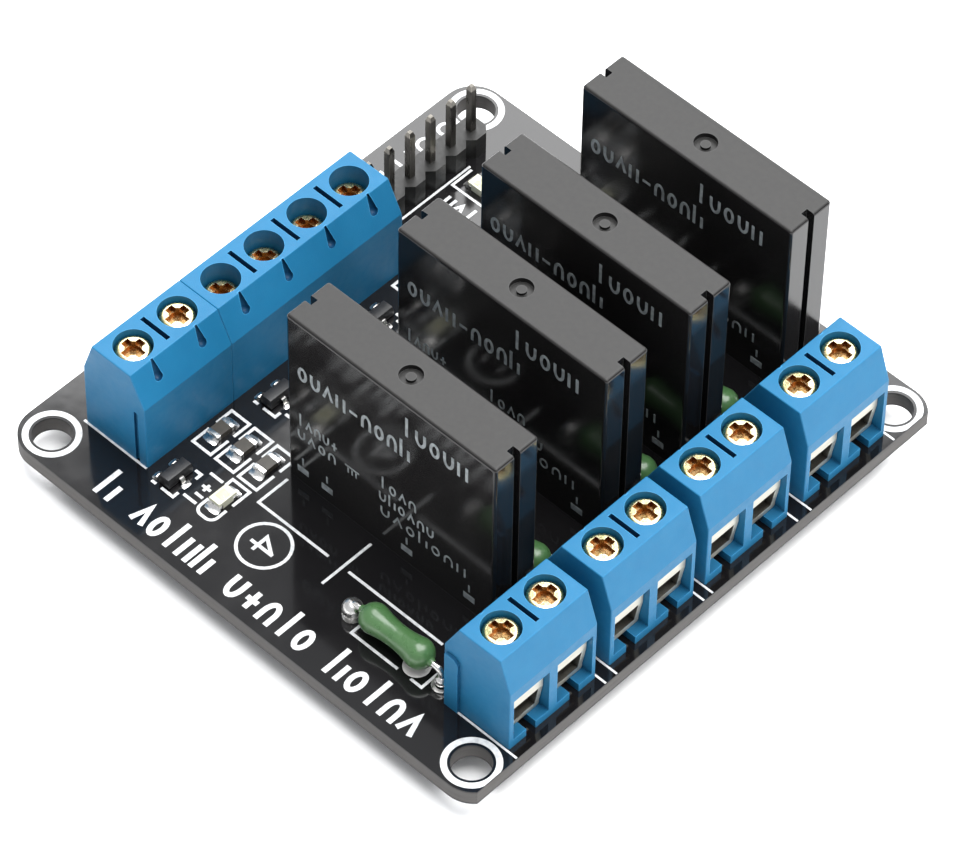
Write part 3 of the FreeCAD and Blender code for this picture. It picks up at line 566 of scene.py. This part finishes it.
def print_lamp(shape, low, high):
    """The outline round a channel's lamp: square behind, round in front, with marks along its side."""
    left, right = low.x - 0.375, low.x + 1.625
    back, round_by = high.y + 1.13, 0.7
    front = low.y - 0.65
    place = flat(TOP)
    shape.ribbon([(left, back - 0.73), (left, back), (right, back), (right, back - 1.93)], OUTLINE, place)
    shape.ribbon([(left, low.y + 0.2), *arc(left + round_by, front, round_by, 180, 270, 5),
                  *arc(right - round_by, front, round_by, 270, 360, 5), (right, low.y + 0.3)], OUTLINE, place)
    mark_row(shape, ["tall", "cross", "post"], low.y - 1.1, high.y + 1.0, 0.825 - low.x, 1.3, OUTLINE,
             flat(TOP, turn=90))


def print_driver(shape, low, high):
    """Three corner marks round a driver transistor."""
    right = high.x + 0.7
    back, front = high.y + 0.2, low.y - 0.2
    leg = 0.55
    place = flat(TOP)
    shape.ribbon([(right - 0.6, back), (right, back), (right, back - leg)], OUTLINE, place)
    shape.ribbon([(low.x + 0.7, front), (right, front), (right, front + leg)], OUTLINE, place)
    shape.ribbon([(low.x - 0.45, front), (low.x - 0.1, front)], OUTLINE, place)


def print_channel_number(shape, number, row):
    """The channel's number in its circle."""
    x = span("relay_case_1")[0].x + 4.1
    shape.ribbon(ring(x, row, 2.35), 0.3, flat(TOP), closed=True)
    channel_numeral(shape, number, flat(TOP, x, row, -90))


def print_relay_lines(shape, relay):
    """The thin lines printed in front of a relay."""
    low, high = span(relay)
    level = low.y - 4.1
    left, pause, bar = low.x + 0.5, low.x + 8.6, low.x + 10.3
    place = flat(TOP)
    shape.ribbon([(left, low.y - 0.75), (left, level), (pause, level)], THIN, place)
    shape.ribbon([(bar, low.y - 0.8), (bar, low.y - 6.4)], THIN, place)
    shape.ribbon([(bar + 0.8, level), (high.x - 1.8, level)], THIN, place)


def print_fuse_lines(shape, fuse):
    """The two brackets printed beside a fuse."""
    low, high = span(fuse)
    line = (low.y + high.y) / 2
    side, right = line - 1.36, high.x + 0.22
    place = flat(TOP)
    shape.ribbon([(low.x, line - 0.3), (low.x, side), (low.x + 5.2, side)], THIN, place)
    shape.ribbon([(high.x - 0.94, side), (right, side), (right, line + 0.6)], THIN, place)


def print_block_lines(shape):
    """Lines that run along the ends of the terminal blocks, out to the board's edge."""
    place = flat(TOP)
    edge = span("circuit_board")[1].x - 0.12
    for block in range(CHANNELS):
        low, high = span(f"output_housing_{block + 1}")
        for start, line in ((low.x + 0.4, low.y + 0.12), (low.x - 0.3, high.y + 0.16)):
            shape.ribbon([(start, line), (edge, line)], 0.2, place)
    low, high = span("input_housing_2way")
    shape.ribbon([(low.x - 0.15, low.y - 0.08), (high.x - 0.1, low.y - 0.08)], 0.24, place)


def print_header_lines(shape):
    """The line beside the pin header and a mark for each pin."""
    low, high = span("header_base")
    shape.ribbon([(high.x + 0.28, low.y - 0.7), (high.x + 0.28, high.y - 3.0)], 0.22, flat(TOP))
    mark_row(shape, ["post", "tall", "cross", "bars", "arch", "ring"], low.y, high.y, -low.x + 1.1, 1.9, 0.34,
             flat(TOP, turn=90))


def print_power_lamp(shape, low, high):
    """The corner line and the marks in front of the power lamp, beside the header's line."""
    header_high = span("header_base")[1]
    left, front = header_high.x + 0.66, low.y - 0.725
    shape.ribbon([(left, header_high.y - 3.2), (left, front), (high.x + 1.2, front)], 0.24, flat(TOP))
    mark_row(shape, ["bars", "peak", "post"], low.x - 0.6, high.x + 1.0, front - 2.0, 1.2, 0.3, flat(TOP))


def hole_ring(shape, x, y, hole):
    """The printed ring round a corner hole, cut off where it meets the board's output edge."""
    inner, outer = hole + 0.24, hole + 0.8
    edge = span("circuit_board")[1].x - 0.03 - x
    rows = []
    for across, along in ring(0, 0, 1, 48):
        reach = min(outer, edge / across) if across > 0 else outer
        rows.append([(across * size, along * size, height)
                     for size, height in ((inner, -SINK), (inner, INK), (reach, INK), (reach, -SINK))])
    shape.sweep(rows, flat(TOP, x, y), True)


def board_print():
    """All the white printing on the component side."""
    shape = Shape()
    holes = next(mount for mount in frame["record"]["mounts"] if mount["name"] == "mounting_holes")["dims"]
    for side in (-1, 1):
        for end in (-1, 1):
            hole_ring(shape, side * holes["spacing_x_mm"] / 2, end * holes["spacing_y_mm"] / 2,
                      holes["hole_r_mm"])
    for low, _ in islands("input_resistors"):
        print_resistor(shape, low)
    *lamps, power_lamp = islands("indicator_leds")
    for index, (low, high) in enumerate(lamps):
        print_lamp(shape, low, high)
        print_channel_number(shape, CHANNELS - index, low.y)
    print_power_lamp(shape, *power_lamp)
    for low, high in islands("driver_transistors"):
        print_driver(shape, low, high)
    for channel in range(CHANNELS):
        print_relay_lines(shape, f"relay_case_{channel + 1}")
        print_fuse_lines(shape, f"fuse_body_{channel + 1}")
    print_block_lines(shape)
    print_header_lines(shape)
    shape.done("board_print", WHITE_INK, "board")


def title_print():
    """The bold row along the board's edge, as plain marks of the same weight."""
    shape = Shape()
    corner = span("circuit_board")[0]
    base, height, line = corner.y + 1.15, 2.75, 0.5
    groups = [
        (["tall"], 9.6, 11.9),
        (["peak", "ring", "post", "bars", "tall"], 13.9, 22.8),
        (["cup", "cross", "arch", "post", "ring"], 24.7, 34.5),
        (["tall", "ring", "post", "arch", "peak"], 36.5, 46.8),
    ]
    for forms, start, end in groups:
        mark_row(shape, forms, corner.x + start, corner.x + end, base, height, line, flat(TOP))
    shape.done("edge_print", WHITE_INK, "board")


def relay_print(channel):
    """Pale rows on the front face of a relay, as plain marks, with one bar over each lead."""
    low = span(f"relay_case_{channel + 1}")[0]
    upright = Matrix.Translation(low * MM) @ Matrix.Rotation(math.pi / 2, 4, "X")
    place = upright @ Matrix.Scale(MM, 4)
    shape = Shape()
    rows = [
        (["ring", "cup", "peak", "bars", "dash", "arch", "ring", "arch", "tall"], 1.1, 14.2, 13.4, 2.0, 0.3),
        (["post", "cup", "ring", "cup", "bars"], 12.9, 20.7, 16.4, 2.1, 0.3),
        (["post", "peak", "arch", "cup", "cross"], 1.0, 5.9, 7.4, 1.35, 0.19),
        (["cup", "peak", "ring", "arch"], 1.0, 5.7, 5.7, 1.3, 0.19),
        (["post", "ring", "peak", "arch"], 10.4, 14.9, 7.4, 1.35, 0.19),
        (["cup", "tall", "ring", "peak", "arch", "cup"], 10.4, 16.9, 5.7, 1.3, 0.19),
        (["cup", "peak", "ring", "tall", "ring", "arch", "bars"], 10.5, 20.6, 3.9, 1.3, 0.19),
    ]
    for forms, start, end, base, height, line in rows:
        mark_row(shape, forms, start, end, base, height, line, place)
    for x in (7.0, 7.45, 7.9):
        shape.ribbon([(x, 6.0), (x, 6.5)], 0.16, place)
    shape.ribbon([(6.7, 6.75), (8.2, 6.75)], 0.16, place)
    for x in (1.7, 4.5, 13.7, 20.8):
        shape.ribbon([(x - 0.4, 1.6), (x + 0.4, 1.6)], 0.7, place)
        shape.ribbon([(x, 2.4), (x, 3.1)], 0.2, place)
    shape.done(f"relay_print_{channel + 1}", GREY_INK, "relay_plastic")


# ---------------------------------------------------------------- small parts on the board

def solder_cone(shape, x, y, foot, crown, height):
    """Solder that hangs down a pin in a hollow curve from the board's underside."""
    steps, rim = 6, 0.03
    profile = [(0.0, 0.02), (foot, 0.02)]
    for step in range(steps + 1):
        share = step / steps
        profile.append((crown + (foot - crown) * (1 - share) ** 2.2, -rim - height * share))
    profile.append((crown * 0.5, -rim - height * 1.05))
    profile.append((0.0, -rim - height * 1.07))
    shape.lathe(profile, flat(0.0, x, y), steps=20)


def pads_and_solder():
    """Solder cones on the underside, replacing the CAD cones, and wetted rings on top."""
    below = Shape()
    above = Shape()
    for low, high in islands("solder_joints"):
        x, y = (low.x + high.x) / 2, (low.y + high.y) / 2
        solder_cone(below, x, y, (high.x - low.x) / 2, 0.55, -low.z)
        above.ribbon(ring(0, 0, 0.72, 24), 0.34, flat(TOP, x, y), closed=True, thickness=0.035)
    joints = below.done("solder_below", SOLDER, "solder", smooth=True)
    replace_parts(joints, "solder_joints")
    above.done("solder_rings", SOLDER, "solder", smooth=True)


def fillet(shape, x, y, face, width, reach, height):
    """A hollow solder fillet against a part's end face; face is its outward (x, y) direction."""
    direction = Vector((*face, 0))
    side = Vector((-face[1], face[0], 0))
    origin = Vector((x, y, TOP / MM))
    steps, rim = 5, 0.02
    section = [(0.0, -SINK), (reach, -SINK)]
    for step in range(steps + 1):
        share = step / steps
        section.append((reach * (1 - share) ** 2, rim + (height - rim) * share ** 1.3))
    rows = []
    # The fillet is full in the middle and shrinks towards both ends of the face.
    for along, size in ((-1.0, 0.55), (-0.85, 0.9), (0.0, 1.0), (0.85, 0.9), (1.0, 0.55)):
        rows.append([origin + side * along * width / 2 + direction * out * size + Vector((0, 0, up * size))
                     for out, up in section])
    shape.sweep(rows, MILLIMETRES, False)


def chip_ends(shape, solder, low, high, wrap, along_y):
    """Tinned ends round a chip, each with a fillet of solder."""
    grow = 0.02
    axis = 1 if along_y else 0
    for side in (-1, 1):
        corner_low = Vector((low.x - grow, low.y - grow, low.z))
        corner_high = Vector((high.x + grow, high.y + grow, high.z + grow))
        if side < 0:
            corner_high[axis] = low[axis] + wrap
        else:
            corner_low[axis] = high[axis] - wrap
        shape.block(corner_low, corner_high, MILLIMETRES, round_by=0.06)
        foot = (low + high) / 2
        foot[axis] = (high if side > 0 else low)[axis] + side * grow * 0.5
        face = (0, side) if along_y else (side, 0)
        width = (high - low)[1 - axis] + 0.25
        fillet(solder, foot.x, foot.y, face, width, 0.6, (high.z - low.z) * 0.9)


def small_parts():
    """Tinned ends, fillets and lamp lenses, and the driver transistors."""
    ends, solder, lenses = Shape(), Shape(), Shape()
    for low, high in islands("input_resistors"):
        chip_ends(ends, solder, low, high, 0.38, along_y=True)
    wrap, rim = 0.42, 0.12
    for low, high in islands("indicator_leds"):
        along_y = high.y - low.y > high.x - low.x
        chip_ends(ends, solder, low, high - Vector((0, 0, 0.35)), wrap, along_y)
        inset = Vector((rim, wrap, 0)) if along_y else Vector((wrap, rim, 0))
        lens_low = low + inset + Vector((0, 0, 0.25))
        lens_high = high - inset + Vector((0, 0, 0.06))
        lenses.block(lens_low, lens_high, MILLIMETRES, taper=0.07, round_by=0.12)
    ends.done("chip_ends", TIN, "tinned", smooth=True)
    lenses.done("lamp_lenses", LENS, "led", smooth=True)
    drivers(solder)
    solder.done("chip_fillets", SOLDER, "solder", smooth=True)


def drivers(solder):
    """The driver transistors' bodies, drawn in above and below their parting line, and their feet."""
    bodies, feet = Shape(), Shape()
    for low, high in islands("driver_transistors"):
        parting = low.z + (high.z - low.z) * 0.45
        bodies.block((low.x, low.y, parting), high, MILLIMETRES, taper=0.12, round_by=0.05)
        lower_high = (high.x - 0.02, high.y - 0.02, parting + 0.03)
        bodies.block(low + Vector((0.08, 0.08, 0)), lower_high, MILLIMETRES, round_by=0.03)
    for low, high in islands("transistor_feet"):
        gull_foot(feet, solder, low, high)
    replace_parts(bodies.done("driver_bodies", EPOXY, "chip_plastic", smooth=True), "driver_transistors")
    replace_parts(feet.done("driver_feet", TIN, "tinned", smooth=True), "transistor_feet")


def gull_foot(shape, solder, low, high):
    """A thin foot that leaves its body half-way up, bends down and lies flat on its pad."""
    bodies = islands("driver_transistors")
    own = min(bodies, key=lambda pair: (pair[0] + pair[1] - low - high).length)
    outward = 1 if low.x > (own[0].x + own[1].x) / 2 else -1
    root = own[1].x if outward > 0 else own[0].x
    rise = (own[1].z - own[0].z) * 0.5
    reach = high.x - low.x
    thin = 0.12
    line = [(-0.05, rise), (0.12, rise), (0.2, rise - 0.08), (0.26, 0.14), (0.32, 0.07), (reach, 0.07)]
    rows = []
    for index, (out, up) in enumerate(line):
        before = Vector(line[max(index - 1, 0)])
        after = Vector(line[min(index + 1, len(line) - 1)])
        along = (after - before).normalized()
        across = Vector((-along.y, along.x)) * thin / 2
        row = []
        for y, side in ((low.y, 1), (high.y, 1), (high.y, -1), (low.y, -1)):
            row.append((root + outward * (out + across.x * side), y, low.z + up + across.y * side))
        rows.append(row)
    shape.sweep(rows, MILLIMETRES, False)
    tip = root + outward * reach
    fillet(solder, tip - outward * 0.1, (low.y + high.y) / 2, (outward, 0), high.y - low.y + 0.5, 0.4, 0.3)


def fuse_looks(channel):
    """A dipped dog-bone body with a short skirt of lacquer round each lead."""
    node = f"fuse_body_{channel + 1}"
    low, high = span(node)
    centre = (low + high) / 2
    radius = (high.z - low.z) / 2
    bulb = (high.x - low.x) / 2 - radius
    waist = radius * 0.78
    saddle = (bulb ** 2 + waist ** 2 - radius ** 2) / (2 * (radius - waist))
    lean = math.atan2(saddle + waist, bulb)
    end = -bulb - radius
    start = math.degrees(math.asin(0.45 / radius))
    cap = [(0.0, end - 0.25), (0.33, end - 0.22), (0.42, end + 0.04)]
    cap += [(r, -bulb - x) for x, r in arc(0, 0, radius, start, 180 - math.degrees(lean), 14)]
    hollow = arc(0, saddle + waist, saddle, 180 + math.degrees(lean), 360 - math.degrees(lean), 14)
    profile = cap + [(r, x) for x, r in hollow[1:-1]] + [(r, -z) for r, z in cap[-2::-1]]
    turned = Matrix.Translation(centre * MM) @ Matrix.Rotation(math.pi / 2, 4, "Y") @ MILLIMETRES
    shape = Shape()
    shape.lathe(profile, turned)
    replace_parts(shape.done(f"fuse_coat_{channel + 1}", GREEN, "fuse_coat", smooth=True), node)


def bent_lead(shape, start, end, drop, radius, bend):
    """A round wire that runs level, turns down through a bend and goes on through the board."""
    side = 1 if end.x > start.x else -1
    steps = 8
    path = [Vector((start.x, start.z))]
    corner = Vector((end.x - side * bend, start.z - bend))
    for step in range(steps + 1):
        angle = math.radians(90 * step / steps)
        path.append(corner + Vector((side * math.sin(angle), math.cos(angle))) * bend)
    path.append(Vector((end.x, drop)))
    rows = []
    for index, point in enumerate(path):
        along = (path[min(index + 1, len(path) - 1)] - path[max(index - 1, 0)]).normalized()
        across = Vector((-along.y, along.x))
        rows.append([(point.x + across.x * u, start.y + v, point.y + across.y * u)
                     for u, v in ring(0, 0, radius, 16)])
    shape.sweep(rows, MILLIMETRES, False)


def fuse_leads():
    """Each fuse's bent wires, with a ball of solder at the inner end and a smaller one at the outer end."""
    leads, beads = Shape(), Shape()
    for low, high in islands("fuse_leads"):
        radius = (high.y - low.y) / 2
        line, level = (low.y + high.y) / 2, high.z - radius
        left = low.x < middle("fuse_body_1").x
        start = Vector((high.x if left else low.x, line, level))
        end = Vector((low.x + radius if left else high.x - radius, line, level))
        bent_lead(leads, start, end, low.z, radius, 0.7)
        size, rise = (0.92, 0.95) if left else (0.6, 0.62)
        profile = [(0.0, -0.02), (size * 0.6, -0.02)]
        profile += [(size * r, rise + size * z) for r, z in arc(0, 0, 1, -55, 85, 12)]
        profile.append((0.0, rise + size))
        beads.lathe(profile, flat(TOP, end.x, line), steps=24)
    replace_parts(leads.done("fuse_wires", TIN, "tinned", smooth=True), "fuse_leads")
    beads.done("fuse_beads", SOLDER, "solder", smooth=True)


def spare_pads():
    """The open tinned pad under the outer end of each fuse."""
    shape = Shape()
    for channel in range(CHANNELS):
        low, high = span(f"fuse_body_{channel + 1}")
        line = (low.y + high.y) / 2
        shape.ribbon(ring(0, 0, 0.78, 32), 0.84, flat(TOP, high.x - 1.57, line - 0.05), closed=True,
                     thickness=0.04)
    shape.done("spare_pads", PAD, "solder")


def copper_tracks():
    """Tracks under the mask, which show as a low relief on both faces."""
    shape = Shape()
    for channel in range(CHANNELS):
        load_tracks(shape, span(f"relay_case_{channel + 1}"), span(f"output_housing_{channel + 1}"))
        control_tracks(shape, span(f"relay_case_{channel + 1}"))
    for low, high in islands("input_resistors"):
        x = (low.x + high.x) / 2
        for path in (
            [(x, high.y + 0.3), (x, high.y + 1.0), (x + 0.7, high.y + 1.9)],
            [(x, low.y - 0.3), (x, low.y - 0.9), (x - 0.6, low.y - 1.6)],
        ):
            shape.ribbon(path, 0.35, flat(TOP), thickness=0.012)
    shape.done("mask_relief", BOARD, "board")


def load_tracks(shape, relay, block):
    """Two wide tracks under the board, from a relay's load leads to its terminal block."""
    (relay_low, relay_high), (block_low, block_high) = relay, block
    line = (relay_low.y + relay_high.y) / 2
    target = (block_low.y + block_high.y) / 2
    inner, outer = block_low.x - 1.88, block_low.x + 1.12
    for offset, start in ((-1.6, relay_high.x - 9.2), (1.6, relay_high.x - 1.6)):
        shape.ribbon([(start, -line), (start + 2.5, -(line + offset)), (inner, -(target + offset * 1.5)),
                      (outer, -(target + offset * 1.6))], 1.8, UNDERSIDE, thickness=0.035)


def control_tracks(shape, relay):
    """Two thin tracks under the board, from a relay's control leads towards the input side."""
    low, high = relay
    line = (low.y + high.y) / 2
    for index, pin in enumerate((1.6, 4.1)):
        x, level = low.x + pin, line - 3.0 - index
        shape.ribbon([(x, -line), (x - 1.5, -level), (low.x - 6.7, -level), (low.x - 9.9, -(level + 2.0))],
                     0.5, UNDERSIDE, thickness=0.03)


# ---------------------------------------------------------------- studio

def soft_light(name, position, size, power):
    """A large rectangular lamp aimed at the part; metres and watts."""
    data = bpy.data.lights.new(name, "AREA")
    data.shape = "RECTANGLE"
    data.size, data.size_y = size
    data.energy = power
    item = bpy.data.objects.new(name, data)
    bpy.context.scene.collection.objects.link(item)
    item.location = position
    item.rotation_euler = (-Vector(position)).to_track_quat("-Z", "Y").to_euler()


def studio():
    """A pale floor and soft light from above, the right and behind."""
    floor = Finish("studio_floor", Roughness=0.8)
    floor.set("Base Color", floor.mix(floor.noise(200), (0.90, 0.90, 0.90), (0.92, 0.92, 0.92)))
    shape = Shape()
    reach = 900
    shape.slab([(-reach, -reach), (reach, -reach), (reach, reach), (-reach, reach)],
               flat(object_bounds()[0].z - 0.0002), low=-2, high=0)
    bmesh.ops.recalc_face_normals(shape.mesh, faces=shape.mesh.faces)
    data = bpy.data.meshes.new("floor")
    shape.mesh.to_mesh(data)
    data.materials.append(floor.material)
    ground = bpy.data.objects.new("floor", data)
    bpy.context.scene.collection.objects.link(ground)
    ground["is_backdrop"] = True
    world = bpy.data.worlds.new("studio")
    bpy.context.scene.world = world
    world.use_nodes = True
    sky = world.node_tree.nodes["Background"]
    sky.inputs["Color"].default_value = (0.95, 0.97, 1.0, 1)
    sky.inputs["Strength"].default_value = 0.68
    soft_light("overhead", (0.05, 0.08, 0.5), (0.5, 0.5), 6.2)
    soft_light("right", (0.55, 0.05, 0.3), (0.3, 0.4), 1.3)
    soft_light("behind", (-0.38, 0.42, 0.42), (0.5, 0.35), 3.2)
    bpy.context.scene.view_settings.view_transform = "Standard"


def camera():
    """A long lens at the photograph's viewing angle."""
    azimuth, elevation, roll = (math.radians(angle) for angle in (43.13, 50.63, 0.88))
    distance = 0.4847
    away = Vector((math.sin(azimuth) * math.cos(elevation), -math.cos(azimuth) * math.cos(elevation),
                   math.sin(elevation)))
    data = bpy.data.cameras.new("camera")
    data.lens = 216.9
    data.shift_x = 0.0043
    data.shift_y = -0.0059
    data.clip_start = 0.01
    item = bpy.data.objects.new("camera", data)
    bpy.context.scene.collection.objects.link(item)
    aim = Vector((0, 0, TOP))
    facing = (-away).to_track_quat("-Z", "Y").to_matrix().to_4x4()
    item.matrix_world = Matrix.Translation(aim + away * distance) @ facing @ Matrix.Rotation(roll, 4, "Z")
    bpy.context.scene.camera = item


def main():
    """Dress the CAD's pieces, add what only shows, then light and frame the view."""
    dress_all()
    board_print()
    title_print()
    for channel in range(CHANNELS):
        relay_print(channel)
        fuse_looks(channel)
    pads_and_solder()
    small_parts()
    fuse_leads()
    spare_pads()
    copper_tracks()
    studio()
    camera()


main()
